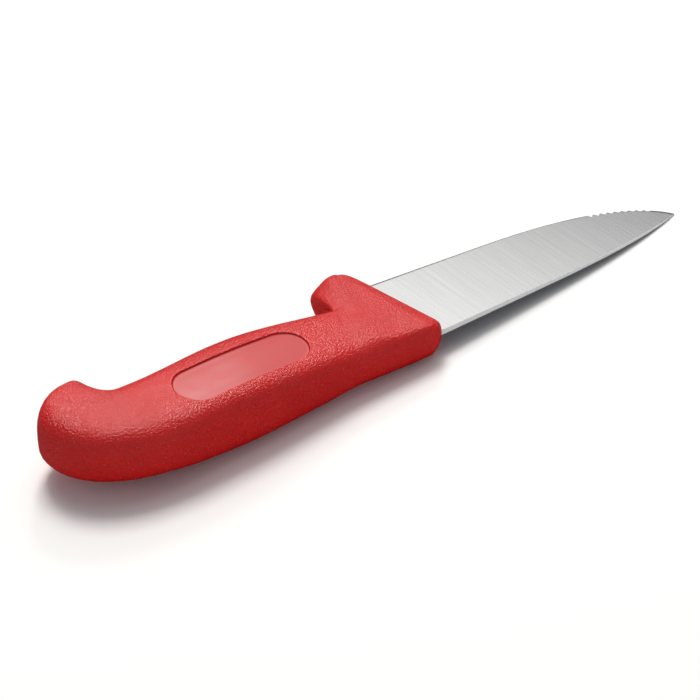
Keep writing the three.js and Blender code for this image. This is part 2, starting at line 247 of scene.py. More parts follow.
class Nodes:
    """The shader nodes of a finish or of the room."""

    noise_low = 0.3
    noise_high = 0.7

    def __init__(self, owner: Material | World, kind: str = "BSDF_PRINCIPLED") -> None:
        """Starts from the shader that a new material or world has.

        Args:
            owner: the material or the world.
            kind: Blender's type of that shader.
        """
        owner.use_nodes = True
        self.owner = owner
        self.tree: NodeTree = owner.node_tree
        self.shader: Node = next(node for node in self.tree.nodes if node.type == kind)

    def add(self, kind: str, **settings: object) -> Node:
        """Adds a node.

        Args:
            kind: Blender's name of the node type.
            settings: properties of the node, or the values of inputs by their name.

        Returns:
            The node.
        """
        node = self.tree.nodes.new(kind)
        for name, value in settings.items():
            if name in node.inputs:
                node.inputs[name].default_value = value
            else:
                setattr(node, name, value)
        return node

    def link(self, source: NodeSocket, target: NodeSocket) -> None:
        """Joins two sockets."""
        self.tree.links.new(source, target)

    def places(self, stretch: Point = (1.0, 1.0, 1.0), turn: float = 0.0) -> NodeSocket:
        """Object coordinates, stretched and turned.

        Args:
            stretch: factors along the three axes.
            turn: angle about the upright axis, in degrees.

        Returns:
            The socket to read the coordinates from.
        """
        source = self.add("ShaderNodeTexCoord")
        mapping = self.add("ShaderNodeMapping", Scale=stretch, Rotation=(0, 0, math.radians(turn)))
        self.link(source.outputs["Object"], mapping.inputs["Vector"])
        return mapping.outputs["Vector"]

    def noise(
        self, places: NodeSocket, scale: float, detail: float = 2.0, roughness: float = 0.5
    ) -> NodeSocket:
        """A cloudy pattern.

        Args:
            places: coordinates to read.
            scale: how many features there are in a unit.
            detail: how many finer layers are added.
            roughness: how strong the finer layers are.

        Returns:
            The pattern's value.
        """
        made = self.add("ShaderNodeTexNoise", Scale=scale, Detail=detail, Roughness=roughness)
        self.link(places, made.inputs["Vector"])
        return made.outputs["Fac"]

    def span(self, noise: NodeSocket, start: float, end: float) -> NodeSocket:
        """Brings the usual range of a pattern into another range.

        Args:
            noise: the pattern's value.
            start: result at its usual low.
            end: result at its usual high.

        Returns:
            The new value.
        """
        limits = {"From Min": self.noise_low, "From Max": self.noise_high, "To Min": start, "To Max": end}
        made = self.add("ShaderNodeMapRange", **limits)
        self.link(noise, made.inputs["Value"])
        return made.outputs["Result"]

    def tint(self, share: NodeSocket, low: Colour | NodeSocket, high: Colour) -> NodeSocket:
        """A colour between two others.

        Args:
            share: 0 for the low colour and 1 for the high one.
            low: colour at 0, or a socket that gives it.
            high: colour at 1.

        Returns:
            The colour.
        """
        made = self.add("ShaderNodeMix", data_type="RGBA")
        self.link(share, made.inputs["Factor"])
        self.fill(made.inputs[MIX_LOW], low)
        self.fill(made.inputs[MIX_HIGH], high)
        return made.outputs[MIX_RESULT]

    def bump(self, height: NodeSocket, distance: float, strength: float) -> NodeSocket:
        """Raises the surface by a pattern.

        Args:
            height: the pattern.
            distance: how high it stands, in metres.
            strength: how much of it is used.

        Returns:
            The new normals.
        """
        made = self.add("ShaderNodeBump", Distance=distance, Strength=strength)
        self.link(height, made.inputs["Height"])
        return made.outputs["Normal"]

    def fill(self, target: NodeSocket, value: float | Colour | NodeSocket) -> None:
        """Sets a socket to a constant or joins it to another.

        Args:
            target: the socket that takes the value.
            value: a number, a colour or a socket.
        """
        if isinstance(value, NodeSocket):
            self.link(value, target)
        else:
            target.default_value = (*value, 1) if isinstance(value, tuple) else value

    def set(self, name: str, value: float | Colour | NodeSocket) -> None:
        """Sets an input of the shader, which is given by its name."""
        self.fill(self.shader.inputs[name], value)


@dataclass(frozen=True)
class GroundSteel:
    """Stainless steel with grinding lines across the blade."""

    name: str = "ground_steel"
    dark: Colour = (0.62, 0.62, 0.63)
    light: Colour = (0.715, 0.715, 0.715)
    smooth: float = 0.165
    rough: float = 0.172
    line_scale: float = 2600.0
    line_detail: float = 3.0
    line_sharpness: float = 0.6
    line_stretch: float = 0.012
    line_turn: float = -4.0
    line_height: float = 0.000004
    line_strength: float = 0.5
    broader: float = 9.0

    def make(self) -> Material:
        """Builds the material.

        Returns:
            The material.
        """
        nodes = Nodes(bpy.data.materials.new(self.name))
        along = nodes.places((1.0, self.line_stretch, self.line_stretch), self.line_turn)
        lines = nodes.noise(along, self.line_scale, self.line_detail, self.line_sharpness)
        broad = nodes.noise(along, self.line_scale / self.broader)
        nodes.set("Base Color", nodes.tint(nodes.span(lines, 0, 1), self.dark, self.light))
        nodes.set("Roughness", nodes.span(broad, self.smooth, self.rough))
        nodes.set("Metallic", 1.0)
        nodes.set("Normal", nodes.bump(lines, self.line_height, self.line_strength))
        return nodes.owner


@dataclass(frozen=True)
class MattSteel:
    """The same steel where the sheet was sheared and left matt, on the spine."""

    name: str = "matt_steel"
    dark: Colour = (0.84, 0.84, 0.835)
    light: Colour = (0.94, 0.94, 0.93)
    rough: float = 0.5
    metal: float = 0.1
    grain_scale: float = 900.0

    def make(self) -> Material:
        """Builds the material.

        Returns:
            The material.
        """
        nodes = Nodes(bpy.data.materials.new(self.name))
        grain = nodes.noise(nodes.places(), self.grain_scale)
        nodes.set("Base Color", nodes.tint(nodes.span(grain, 0, 1), self.dark, self.light))
        nodes.set("Roughness", self.rough)
        nodes.set("Metallic", self.metal)
        return nodes.owner


@dataclass(frozen=True)
class MouldedPlastic:
    """Moulded plastic, with the fine grain of a spark-eroded mould unless other values are given."""

    name: str = "grained_plastic"
    shade: Colour = (0.65, 0.003, 0.002)
    bright: Colour = (0.72, 0.005, 0.004)
    smooth: float = 0.2
    rough: float = 0.28
    grain_scale: float = 1700.0
    grain_sharpness: float = 0.6
    grain_height: float = 0.0005
    grain_strength: float = 1.0
    broader: float = 25.0
    gloss: float = 0.8

    def make(self) -> Material:
        """Builds the material.

        Returns:
            The material.
        """
        nodes = Nodes(bpy.data.materials.new(self.name))
        places = nodes.places()
        grain = nodes.noise(places, self.grain_scale, roughness=self.grain_sharpness)
        broad = nodes.noise(places, self.grain_scale / self.broader)
        nodes.set("Base Color", nodes.tint(nodes.span(broad, 0, 1), self.shade, self.bright))
        nodes.set("Roughness", nodes.span(grain, self.smooth, self.rough))
        nodes.set("Specular IOR Level", self.gloss)
        nodes.set("Normal", nodes.bump(grain, self.grain_height, self.grain_strength))
        return nodes.owner


POLISHED_PLASTIC = MouldedPlastic(
    name="smooth_plastic",
    shade=(0.51, 0.002, 0.004),
    bright=(0.55, 0.003, 0.006),
    smooth=0.38,
    rough=0.44,
    grain_scale=260.0,
    grain_sharpness=0.5,
    grain_height=0.00003,
    grain_strength=0.3,
    broader=1.0,
    gloss=0.65,
)


# The knife


@dataclass(frozen=True)
class Lay:
    """How the knife lies on its side in the row frame."""

    tilt: float = 3.484557
    shift: Point = (8.926027, -0.568711, 7.045319)

    def matrix(self) -> Matrix:
        """The way from the knife's own plane, in millimetres, to the row frame, in metres."""
        turned = Matrix.Rotation(math.radians(self.tilt), 4, "Y")
        return Matrix.Scale(MILLIMETRE, 4) @ Matrix.Translation(self.shift) @ turned


@dataclass(frozen=True)
class Place:
    """A corner of an outline, with the outline's heading there in degrees."""

    x: float
    y: float
    heading: float

    def spot(self, ahead: float = 0.0) -> Vector:
        """The corner, or a spot that lies ahead of it along its heading."""
        angle = math.radians(self.heading)
        return Vector((self.x + ahead * math.cos(angle), self.y + ahead * math.sin(angle), 0))


class Rail:
    """A smooth outline that is read by its length."""

    step = 0.002  # share of the length on either side, over which a heading is read

    def __init__(self, points: Sequence[Vector]) -> None:
        """Measures the outline.

        Args:
            points: a row of close points on it.
        """
        self.points = list(points)
        steps = [(b - a).length for a, b in zip(self.points, self.points[1:])]
        self.lengths = [0.0, *accumulate(steps)]

    @classmethod
    def through(cls, *places: Place, pull: float = 0.38, count: int = 160) -> "Rail":
        """An outline through places.

        Args:
            places: the corners in order.
            pull: share of a stretch over which the headings at its ends are held.
            count: points on each stretch.

        Returns:
            The outline.
        """
        points: list[Vector] = []
        for start, end in zip(places, places[1:]):
            reach = (end.spot() - start.spot()).length * pull
            leave, arrive = start.spot(reach), end.spot(-reach)
            points += interpolate_bezier(start.spot(), leave, arrive, end.spot(), count)
        return cls(points)

    @property
    def length(self) -> float:
        """Length of the outline."""
        return self.lengths[-1]

    def at(self, share: float) -> Vector:
        """The spot at a place on the outline.

        Args:
            share: share of the length that lies before it.

        Returns:
            The spot.
        """
        reach = share * self.length
        index = min(bisect_right(self.lengths, reach), len(self.points) - 1)
        before, after = self.lengths[index - 1], self.lengths[index]
        return self.points[index - 1].lerp(self.points[index], (reach - before) / max(after - before, TINY))

    def heading(self, share: float) -> Vector:
        """The direction of the outline at a share of the length."""
        return (self.at(min(share + self.step, 1.0)) - self.at(max(share - self.step, 0.0))).normalized()


@dataclass
class Blade:
    """The steel: a ground blade with a scalloped stretch of edge, and the tang inside the handle."""

    length: float = 110.0
    heel_width: float = HEEL_WIDTH
    spine_angle: float = 3.35
    spine_run: float = 62.6
    spine_shoulder: float = 20.1
    edge_angle: float = 1.4
    belly_run: float = 67.5
    belly_shoulder: float = 12.4
    point_offset: float = 4.6
    ground_spine: float = 1.9
    ground_edge: float = 0.4
    ground_point: float = 0.84
    bevel_angle: float = 14.0
    edge_land: float = 0.06
    arris: float = 0.16
    arris_segments: int = 3
    spine_facing: float = -0.5
    tooth_count: int = 9
    tooth_pitch: float = 2.6
    tooth_depth: float = 0.85
    tooth_land: float = 0.5
    plain_point: float = 7.9
    flute_angle: float = 10.0
    flute_reach: float = 20.0
    heel_depth: float = 16.0
    tang_width: float = 16.0
    tang_offset: float = 5.0
    tang_tail: float = -87.8
    tang_fillet: float = 4.0
    hole_count: int = 3
    hole_diameter: float = 7.0
    hole_segments: int = 48
    flute_segments: int = 96
    curve_points: int = 72
    round_steps: int = 10
    hidden_start: float = 9.0
    shade_crease: float = 6.0
    finish: GroundSteel = field(default_factory=GroundSteel)
    spine_finish: MattSteel = field(default_factory=MattSteel)

    def edge_line(self, x: float) -> float:
        """The straight edge, or the line that it would follow."""
        return self.heel_width / 2 - x * math.tan(math.radians(self.edge_angle))

    def spine_line(self, x: float) -> float:
        """The straight spine, or the line that it would follow."""
        return x * math.tan(math.radians(self.spine_angle)) - self.heel_width / 2

    def curve(self, run: float, shoulder: float, line: Callable[[float], float]) -> list[Vector]:
        """The stretch on which the spine or the edge curves to the point.

        Args:
            run: length of the stretch.
            shoulder: distance of the curve's control from the point.
            line: the straight line that the curve leaves.

        Returns:
            Points from the straight line to the point.
        """
        point = Vector((self.length, -self.point_offset, 0))
        start = Vector((self.length - run, line(self.length - run), 0))
        control = Vector((self.length - shoulder, line(self.length - shoulder), 0))
        leave, arrive = start.lerp(control, CUBIC), point.lerp(control, CUBIC)
        return interpolate_bezier(start, leave, arrive, point, self.curve_points)

    def belly(self) -> Rail:
        """The curved stretch of the cutting edge."""
        return Rail(self.curve(self.belly_run, self.belly_shoulder, self.edge_line))

    def arc(self, x: float, y: float, radius: float, start: float, end: float) -> list[Vector]:
        """Points on a round corner.

        Args:
            x: place of its middle along the knife.
            y: place of its middle across the knife.
            radius: its radius.
            start: angle of its first point, in degrees.
            end: angle of its last point.

        Returns:
            The points in order.
        """
        shares = [step / self.round_steps for step in range(self.round_steps + 1)]
        corners = [Place(x, y, blend(start, end, share)) for share in shares]
        return [corner.spot(radius) for corner in corners]

    def tang_outline(self, grow: float) -> list[Vector]:
        """The steel inside the handle, from the edge side round the tail to the spine side.

        Args:
            grow: how far the outline lies outside the steel.

        Returns:
            The corners in order.
        """
        shoulder = -self.heel_depth - grow
        half = self.tang_width / 2 + grow
        fillet = self.tang_fillet - grow
        upper = half - self.tang_offset
        tail = self.tang_tail - grow + half
        return [
            Vector((shoulder, self.edge_line(shoulder) + grow, 0)),
            *self.arc(shoulder - fillet, upper + fillet, fillet, 0, -90),
            *self.arc(tail, -self.tang_offset, half, 90, 270),
            Vector((shoulder, -half - self.tang_offset, 0)),
            Vector((shoulder, self.spine_line(shoulder) - grow, 0)),
        ]

    def ground(self, mesh: BMesh, grow: float) -> None:
        """Grinds both sides of a thick plate flat, so that it tapers to the edge and to the point.

        Args:
            mesh: the plate.
            grow: how far the planes lie outside the steel.
        """
        across = (self.ground_edge - self.ground_spine) / 2 / self.heel_width
        middle = (self.ground_edge + self.ground_spine) / 4
        along = (self.ground_point / 2 - middle + across * self.point_offset) / self.length
        for side in Side:
            made = bmesh.ops.bisect_plane(
                mesh,
                geom=[*mesh.verts, *mesh.edges, *mesh.faces],
                plane_co=(0, 0, (middle + grow) * side.value),
                plane_no=(-along, -across, side.value),
                clear_outer=True,
            )
            rim = [part for part in made["geom_cut"] if isinstance(part, BMEdge)]
            bmesh.ops.edgeloop_fill(mesh, edges=rim)

    def drills(self, grow: float) -> list[Object]:
        """Round bars at the places of the tang's holes.

        Args:
            grow: how far they lie outside the holes.

        Returns:
            The bars.
        """
        spacing = (-self.tang_tail - self.heel_depth) / self.hole_count
        bars = []
        for hole in range(self.hole_count):
            place = Matrix.Translation((-self.heel_depth - spacing * (hole + 0.5), -self.tang_offset, 0))
            radius = self.hole_diameter / 2 + grow
            bars.append(round_bar(f"drill_{hole}", radius, FAR, self.hole_segments, place))
        return bars

    def hollow(self, grow: float) -> Object:
        """The room that the steel takes inside the handle.

        Args:
            grow: how far the room lies outside the steel.

        Returns:
            A closed tool that cuts it.
        """
        ahead = self.hidden_start
        outline = [
            Vector((ahead, self.spine_line(ahead) - grow, 0)),
            Vector((ahead, self.edge_line(ahead) + grow, 0)),
            *self.tang_outline(grow),
        ]
        mesh = closed_prism(outline, -FAR, FAR)
        self.ground(mesh, grow)
        tool = to_object(mesh, "tang_room")
        cut(tool, self.drills(-grow))
        return tool

    def sharpening(self, side: Side) -> Object:
        """The wedge that sharpening takes off one side, swept along the edge.

        Args:
            side: the side of the blade.

        Returns:
            A closed tool.
        """
        belly = self.belly()
        shares = [step / self.curve_points for step in range(self.curve_points + 1)]
        stations = [(belly.at(share), belly.heading(share)) for share in shares]
        heading = stations[0][1]
        heel = Vector((-self.heel_depth, self.edge_line(-self.heel_depth), 0))
        last, onward = stations[-1]
        stations = [(heel, heading), *stations, (last + onward * self.hidden_start, onward)]
        rise = math.tan(math.radians(self.bevel_angle))
        reach = self.hidden_start
        land = self.edge_land / 2
        rings = []
        for spot, along in stations:
            inward = Vector((along.y, -along.x, 0))
            outer, inner = spot - inward * reach, spot + inward * reach
            low, high = land - reach * rise, land + reach * rise
            corners = [(outer, low), (inner, high), (outer, high)]
            rings.append([Vector((place.x, place.y, height * side.value)) for place, height in corners])
        mesh = bmesh.new()
        for ring in loft(mesh, rings):
            cap(mesh, ring)
        return to_object(mesh, f"sharpening_{side.name.lower()}")

    def flute(self, number: int) -> Object:
        """A round bar that grinds one scallop into the edge from below.

        Args:
            number: which scallop, counted from the point.

        Returns:
            A closed tool.
        """
        belly = self.belly()
        share = 1 - (self.plain_point + self.tooth_pitch * (number + 0.5)) / belly.length
        along = belly.heading(share)
        rise = math.tan(math.radians(self.bevel_angle))
        lean = math.radians(self.flute_angle)
        sagitta = self.tooth_depth * (rise + math.tan(lean))
        radius = (self.tooth_pitch - self.tooth_land) ** 2 / 8 / sagitta + sagitta / 2
        inward = Vector((along.y, -along.x, 0))
        path = inward * math.cos(lean) - Vector((0, 0, math.sin(lean)))
        downward = path.cross(along)
        downward = downward if downward.z < 0 else -downward
        seat = belly.at(share) + inward * self.tooth_depth + Vector((0, 0, self.tooth_depth * rise))
        turned = Matrix((downward.cross(path), downward, path)).transposed().to_4x4()
        place = Matrix.Translation(seat + downward * radius) @ turned
        return round_bar(f"flute_{number}", radius, self.flute_reach, self.flute_segments, place)

    def soften_spine(self, mesh: BMesh) -> None:
        """Breaks the two long edges of the spine.

        Args:
            mesh: the ground plate.
        """
        spine_top = self.length - self.hidden_start
        edges = []
        for edge in mesh.edges:
            first, last = (end.co for end in edge.verts)
            exposed = -self.heel_depth < min(first.x, last.x) and max(first.x, last.x) < spine_top
            if exposed and max(first.y, last.y) < -self.point_offset and abs(first.x - last.x) > UPRIGHT:
                edges.append(edge)
        bmesh.ops.bevel(
            mesh,
            geom=edges,
            offset=self.arris,
            segments=self.arris_segments,
            profile=0.5,
            affect="EDGES",
            material=-1,
        )

    def build(self, lay: Lay) -> Object:
        """Builds and dresses the blade.

        Args:
            lay: how the knife lies.

        Returns:
            The finished piece.
        """
        spine = self.curve(self.spine_run, self.spine_shoulder, self.spine_line)
        edge = self.curve(self.belly_run, self.belly_shoulder, self.edge_line)
        front = Vector((0, self.spine_line(0), 0))
        mesh = closed_prism([front, *spine, *reversed(edge[:-1]), *self.tang_outline(0)], -FAR, FAR)
        self.ground(mesh, 0)
        self.soften_spine(mesh)
        piece = to_object(mesh, "knife_blade")
        flutes = [self.flute(number) for number in range(self.tooth_count)]
        cut(piece, [*(self.sharpening(side) for side in Side), *flutes, *self.drills(0)])
        data = piece.data
        data.materials.clear()
        data.materials.append(self.finish.make())
        data.materials.append(self.spine_finish.make())
        for face in data.polygons:
            on_spine = face.normal.y < self.spine_facing and face.center.x > -self.heel_depth
            face.material_index = int(on_spine)
        return settle(piece, lay, self.shade_crease, "blade")


def settle(piece: Object, lay: Lay, crease: float, node: str) -> Object:
    """Lays a dressed piece down, shades it smoothly apart from its creases and joins it to the frame.

    Args:
        piece: the piece, in the knife's own plane.
        lay: how the knife lies.
        crease: angle between faces, in degrees, above which an edge is sharp.
        node: the CAD node that it stands for.

    Returns:
        The piece.
    """
    data = piece.data
    data.transform(lay.matrix())
    data.polygons.foreach_set("use_smooth", [True] * len(data.polygons))
    data.set_sharp_from_angle(angle=math.radians(crease))
    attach(piece, BODY)
    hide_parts(node)
    return piece


@dataclass(frozen=True)
class Grip:
    """Heights over the grip's own width: an oval whose back swells past its crown, which is cut flat."""

    half: float
    back_power: float
    belly_power: float
    swell: float = 1.0
    fillet: float = 0.0

    @property
    def turn(self) -> float:
        """Angle over which the back rises to the rim of its crown."""
        return math.acos(math.sqrt(1 - self.swell**-self.back_power))

    def back_spot(self, share: float) -> float:
        """A place on the back, at a share of the way from its edge to the rim of its crown."""
        return max(math.cos(share * self.turn), 0.0) ** (2 / self.back_power)

    def height(self, across: float) -> float:
        """Height over a place on the width.

        Args:
            across: the place, from 1 on the back to -1 on the belly.

        Returns:
            The height.
        """
        if across <= 0:
            return oval(across, self.half, self.belly_power)
        swollen = oval(across, self.half * self.swell, self.back_power)
        return soft_min(self.half, swollen, min(self.fillet, self.half * (self.swell - 1)))


@dataclass(frozen=True)
class GuardShape:
    """Shape of the guard, by shares of its outline: full ahead of a crest, hollow behind it."""

    front_power: float = 5.8
    hollow_power: float = 1.6
    thinning: float = 0.85
    crest_tip: float = 0.12
    crest_back: float = 0.48
    crest_soft: float = 0.1
    rim: float = 0.8
    scoop: float = 4.2

    def behind(self, across: float, share: float) -> float:
        """How far a place lies in the hollow.

        Args:
            across: the place on the full width, from 1 on the back to -1 on the guard.
            share: how far along the guard it lies, from its front.

        Returns:
            0 on the crest, rising to 1 at the rim.
        """
        crest = blend(self.crest_back, self.crest_tip, (1 - across) / 2)
        left = max((self.rim - share) / (self.rim - crest), 0.0)
        return 1 - soft_min(left, 1.0, self.crest_soft) ** self.scoop

    def height(self, across: float, half: float, behind: float) -> float:
        """Height over a place on the full width of a section."""
        hollow = oval(across, half * self.thinning, self.hollow_power)
        return blend(oval(across, half, self.front_power), hollow, behind)


@dataclass
class Handle:
    """The moulding: a grip with a finger guard, a hooked butt and an oval recess."""

    length: float = 127.8
    heel_width: float = HEEL_WIDTH
    spine_cover: float = 2.8
    guard_lip: float = 6.0
    front_slant: float = 9.3
    guard_thickness: float = 10.5
    guard_corner_run: float = 2.0
    guard_corner_drop: float = 0.1
    guard_rear_inset: float = 4.0
    guard_root_distance: float = 26.4
    guard_root_reach: float = 6.2
    fade_distance: float = 44.0
    fade_reach: float = 18.9
    belly_distance: float = 64.0
    belly_reach: float = 9.9
    neck_inset: float = 24.8
    neck_reach: float = 6.4
    hook_inset: float = 17.6
    hook_reach: float = 14.5
    butt_reach: float = 2.3
    back_distance: float = 78.0
    back_reach: float = 20.6
    palm_inset: float = 29.2
    palm_reach: float = 20.7
    nose_half: float = 5.8
    guard_half: float = 6.75
    root_half: float = 8.15
    grip_half: float = 10.8
    palm_half: float = 11.1
    butt_half: float = 10.4
    round_front: float = 2.6
    round_hold: float = 1.6
    nose_swell: float = 1.6
    nose_crease: float = 1.1
    soft_crease: float = 2.5
    crease_share: float = 0.66
    square_grip: float = 4.3
    square_belly: float = 2.7
    square_butt: float = 3.0
    guard_spread: float = 0.6
    guard: GuardShape = field(default_factory=GuardShape)
    root_fillet: float = 1.2
    butt_onset: float = 4.0
    butt_fullness: float = 2.4
    nose_bulge: float = 5.1
    nose_wrap: float = 72.0
    nose_fullness: float = 0.7
    front_corner: float = 0.65
    recess_distance: float = 68.8
    recess_offset: float = 8.0
    recess_turn: float = 3.66
    recess_length: float = 45.5
    recess_width: float = 14.4
    recess_depth: float = 0.8
    recess_profile: tuple[tuple[float, float], ...] = (
        (-0.42, 0.0),
        (-0.2, 0.05),
        (-0.06, 0.18),
        (0.0, 0.42),
        (0.03, 0.7),
        (0.09, 0.86),
        (0.2, 0.96),
        (0.5, 1.12),
    )  # the wall from the floor to past the rim: outset in millimetres, share of the depth
    gap: float = 0.3
    steel_fit: float = 0.015
    back_points: int = 30
    crown_points: int = 18
    crown_end: float = -0.3
    belly_points: int = 36
    nose_stations: int = 10
    guard_stations: int = 72
    grip_stations: int = 42
    butt_stations: int = 42
    end_points: int = 40
    side_points: int = 36
    floor_cuts: int = 7
    floor_reach: float = 0.12
    shade_crease: float = 34.0
    skin: MouldedPlastic = field(default_factory=MouldedPlastic)
    floor: MouldedPlastic = POLISHED_PLASTIC

    def __post_init__(self) -> None:
        """Lays out the corners of the outline and the lines between them."""
        cover = self.heel_width / 2 + self.spine_cover
        reach = self.heel_width / 2 + self.guard_lip
        slope = self.front_slant / (cover + reach - self.guard_corner_drop)
        nose = self.nose_bulge * math.sin(math.radians(self.nose_wrap)) * math.hypot(1, slope)
        front = Place(-nose - self.gap, -cover, heading=183)
        guard_front = Place(front.x - self.front_slant, reach - self.guard_corner_drop, heading=100)
        guard_tip = Place(guard_front.x - self.guard_corner_run, reach, heading=180)
        guard_rear = Place(guard_front.x - self.guard_thickness, reach - self.guard_rear_inset, heading=268)
        guard_root = Place(-self.guard_root_distance, self.guard_root_reach, heading=175)
        belly = Place(-self.belly_distance, self.belly_reach, heading=182)
        neck = Place(self.neck_inset - self.length, self.neck_reach, heading=180)
        hook = Place(self.hook_inset - self.length, self.hook_reach, heading=160)
        butt = Place(-self.length, self.butt_reach, heading=90)
        palm = Place(self.palm_inset - self.length, -self.palm_reach, heading=175)
        crest = Place(-self.back_distance, -self.back_reach, heading=180)
        fade = Place(-self.fade_distance, -self.fade_reach, heading=183)
        self.tip = hook.spot()
        self.guard_rail = Rail.through(guard_front, guard_tip, guard_rear, guard_root)
        self.guard_back = Rail.through(front, fade)
        self.belly_rail = Rail.through(guard_root, belly, neck)
        self.grip_back = Rail.through(fade, crest, palm)
        self.hook_rail = Rail.through(neck, hook)
        self.butt_back = Rail.through(palm, butt, Place(hook.x, hook.y, heading=10))
        self.knots = [
            (butt.x, self.butt_half),
            (neck.x, self.butt_half),
            (crest.x, self.palm_half),
            (belly.x, self.grip_half),
            (guard_root.x, self.root_half),
            (guard_tip.x, self.guard_half),
            (front.x, self.nose_half),
        ]

    def half_at(self, x: float) -> float:
        """Half of the handle's thickness, as a smooth curve through the knots.

        Args:
            x: place along the handle.

        Returns:
            The half thickness.
        """
        places = [knot[0] for knot in self.knots]
        last = len(self.knots) - 1
        index = min(max(bisect_right(places, x), 1), last)
        (start, low), (end, high) = self.knots[index - 1], self.knots[index]
        before = self.knots[index - 2] if index > 1 else (end, high)
        after = self.knots[index + 1] if index < last else (start, low)
        reach = end - start
        leave = (high - before[1]) / (end - before[0]) if index > 1 else (high - low) / reach
        arrive = (after[1] - low) / (after[0] - start) if index < last else (high - low) / reach
        share = (x - start) / reach
        rest = 1 - share
        return (
            low * (1 + 2 * share) * rest * rest
            + leave * reach * share * rest * rest
            + high * share * share * (3 - 2 * share)
            - arrive * reach * share * share * rest
        )

    def section(self, back: Vector, front: Vector, grip: Grip, own: float, share: float) -> list[Vector]:
        """One section of the handle.

        Args:
            back: its place on the back.
            front: its place on the belly or the guard.
            grip: the heights of the grip.
            own: part of the full width that the grip takes.
            share: how far along the guard it lies, from its front.

        Returns:
            The corners in order, from the back over the top to the belly and round below.
        """
        points = self.back_points
        spots = [1 - (1 - grip.back_spot(step / points)) * own for step in range(points)]
        rim, foot = 1 - (1 - grip.back_spot(1)) * own, self.crown_end
        spots += [blend(rim, foot, step / self.crown_points) for step in range(self.crown_points)]
        turns = [step / self.belly_points * math.pi / 2 for step in range(self.belly_points)]
        spots += [blend(foot, -1, math.sin(turn)) for turn in turns]
        upper = []
        for across in spots:
            place = back.lerp(front, (1 - across) / 2)
            height = grip.height(1 - (1 - across) / own)
            if own < 1:
                behind = self.guard.behind(across, share)
                rise = self.guard.height(across, grip.half, behind)
                if across > 0:
                    rise = min(rise, grip.height(across))
                height = soft_max(height, rise, self.root_fillet * behind)
            upper.append(Vector((place.x, place.y, height)))
        upper[0].z = 0
        lower = [Vector((spot.x, spot.y, -spot.z)) for spot in upper[1:]]
        return [*upper, front.copy(), *reversed(lower)]

    def guarded(self, back: Vector, front: Vector, half: float, share: float) -> list[Vector]:
        """A section that the guard stands out of.

        Args:
            back: its place on the back.
            front: its place on the guard.
            half: half of its thickness.
            share: how far along the guard it lies, from its front.

        Returns:
            The corners in order.
        """
        own = min((self.guard_root_reach - back.y) / (front.y - back.y), 1.0)
        faded = min(share / self.crease_share, 1.0)
        grip = Grip(
            half,
            blend(self.round_front, self.square_grip, share**self.round_hold),
            self.square_belly,
            blend(self.nose_swell, 1, 1 - (1 - faded) ** 2),
            blend(self.nose_crease, self.soft_crease, faded),
        )
        return self.section(back, front, grip, own, share)

    def nose_sections(self) -> list[list[Vector]]:
        """The rounded front face, from its flat middle back to the first full section.

        Returns:
            The sections in order.
        """
        back, front = self.guard_back.at(0), self.guard_rail.at(0)
        across = (front - back).normalized()
        out = Vector((across.y, -across.x, 0))
        rings = []
        for step in range(self.nose_stations, 0, -1):
            angle = math.radians(step / self.nose_stations * self.nose_wrap)
            inset = across * (1 - math.cos(angle)) * self.nose_bulge * self.front_corner
            shift = out * self.nose_bulge * math.sin(angle)
            half = self.nose_half * math.cos(angle) ** self.nose_fullness
            rings.append(self.guarded(back + inset + shift, front - inset + shift, half, 0))
        return rings

    def sections(self) -> list[list[Vector]]:
        """All sections, from the front face to the tip of the hook.

        Returns:
            The sections in order.
        """
        rings = self.nose_sections()
        for step in range(self.guard_stations):
            share = step / self.guard_stations
            back, front = self.guard_back.at(share**self.guard_spread), self.guard_rail.at(share)
            rings.append(self.guarded(back, front, self.half_at((back.x + front.x) / 2), share))
        for step in range(self.grip_stations):
            share = step / self.grip_stations
            back, front = self.grip_back.at(share), self.belly_rail.at(share)
            late = share**self.butt_onset
            back_power = blend(self.square_grip, self.square_butt, late)
            belly_power = blend(self.square_belly, self.square_butt, late)
            grip = Grip(self.half_at((back.x + front.x) / 2), back_power, belly_power)
            rings.append(self.section(back, front, grip, 1, 1))
        full = (self.butt_back.at(0) - self.hook_rail.at(0)).length
        for step in range(self.butt_stations):
            share = math.sin(step / self.butt_stations * math.pi / 2)
            back, front = self.butt_back.at(share), self.hook_rail.at(share)
            closing = max(1 - (back - front).length / full, 0.0)
            half = self.butt_half * math.sqrt(1 - closing**self.butt_fullness)
            rings.append(self.section(back, front, Grip(half, self.square_butt, self.square_butt), 1, 1))
        return rings

    def body(self) -> BMesh:
        """The closed outside of the handle, without its recess and its room for the steel.

        Returns:
            A new mesh.
        """
        mesh = bmesh.new()
        nose, hook = loft(mesh, self.sections())
        cap(mesh, nose)
        tip = next_ring(mesh, hook, [self.tip] * len(hook))
        bmesh.ops.pointmerge(mesh, verts=tip, merge_co=self.tip)
        bmesh.ops.recalc_face_normals(mesh, faces=mesh.faces)
        return mesh

    def floor_at(self, skin: BVHTree, spot: Vector) -> float:
        """Height of the recess's floor over a spot: an even depth below the skin."""
        above, down = Vector((spot.x, spot.y, FAR)), Vector((0, 0, -1))
        return skin.ray_cast(above, down)[0].z - self.recess_depth

    def recess_place(self) -> Matrix:
        """Where the recess lies and how it is turned."""
        centre = Matrix.Translation((-self.recess_distance, -self.recess_offset, 0))
        return centre @ Matrix.Rotation(math.radians(self.recess_turn), 4, "Z")

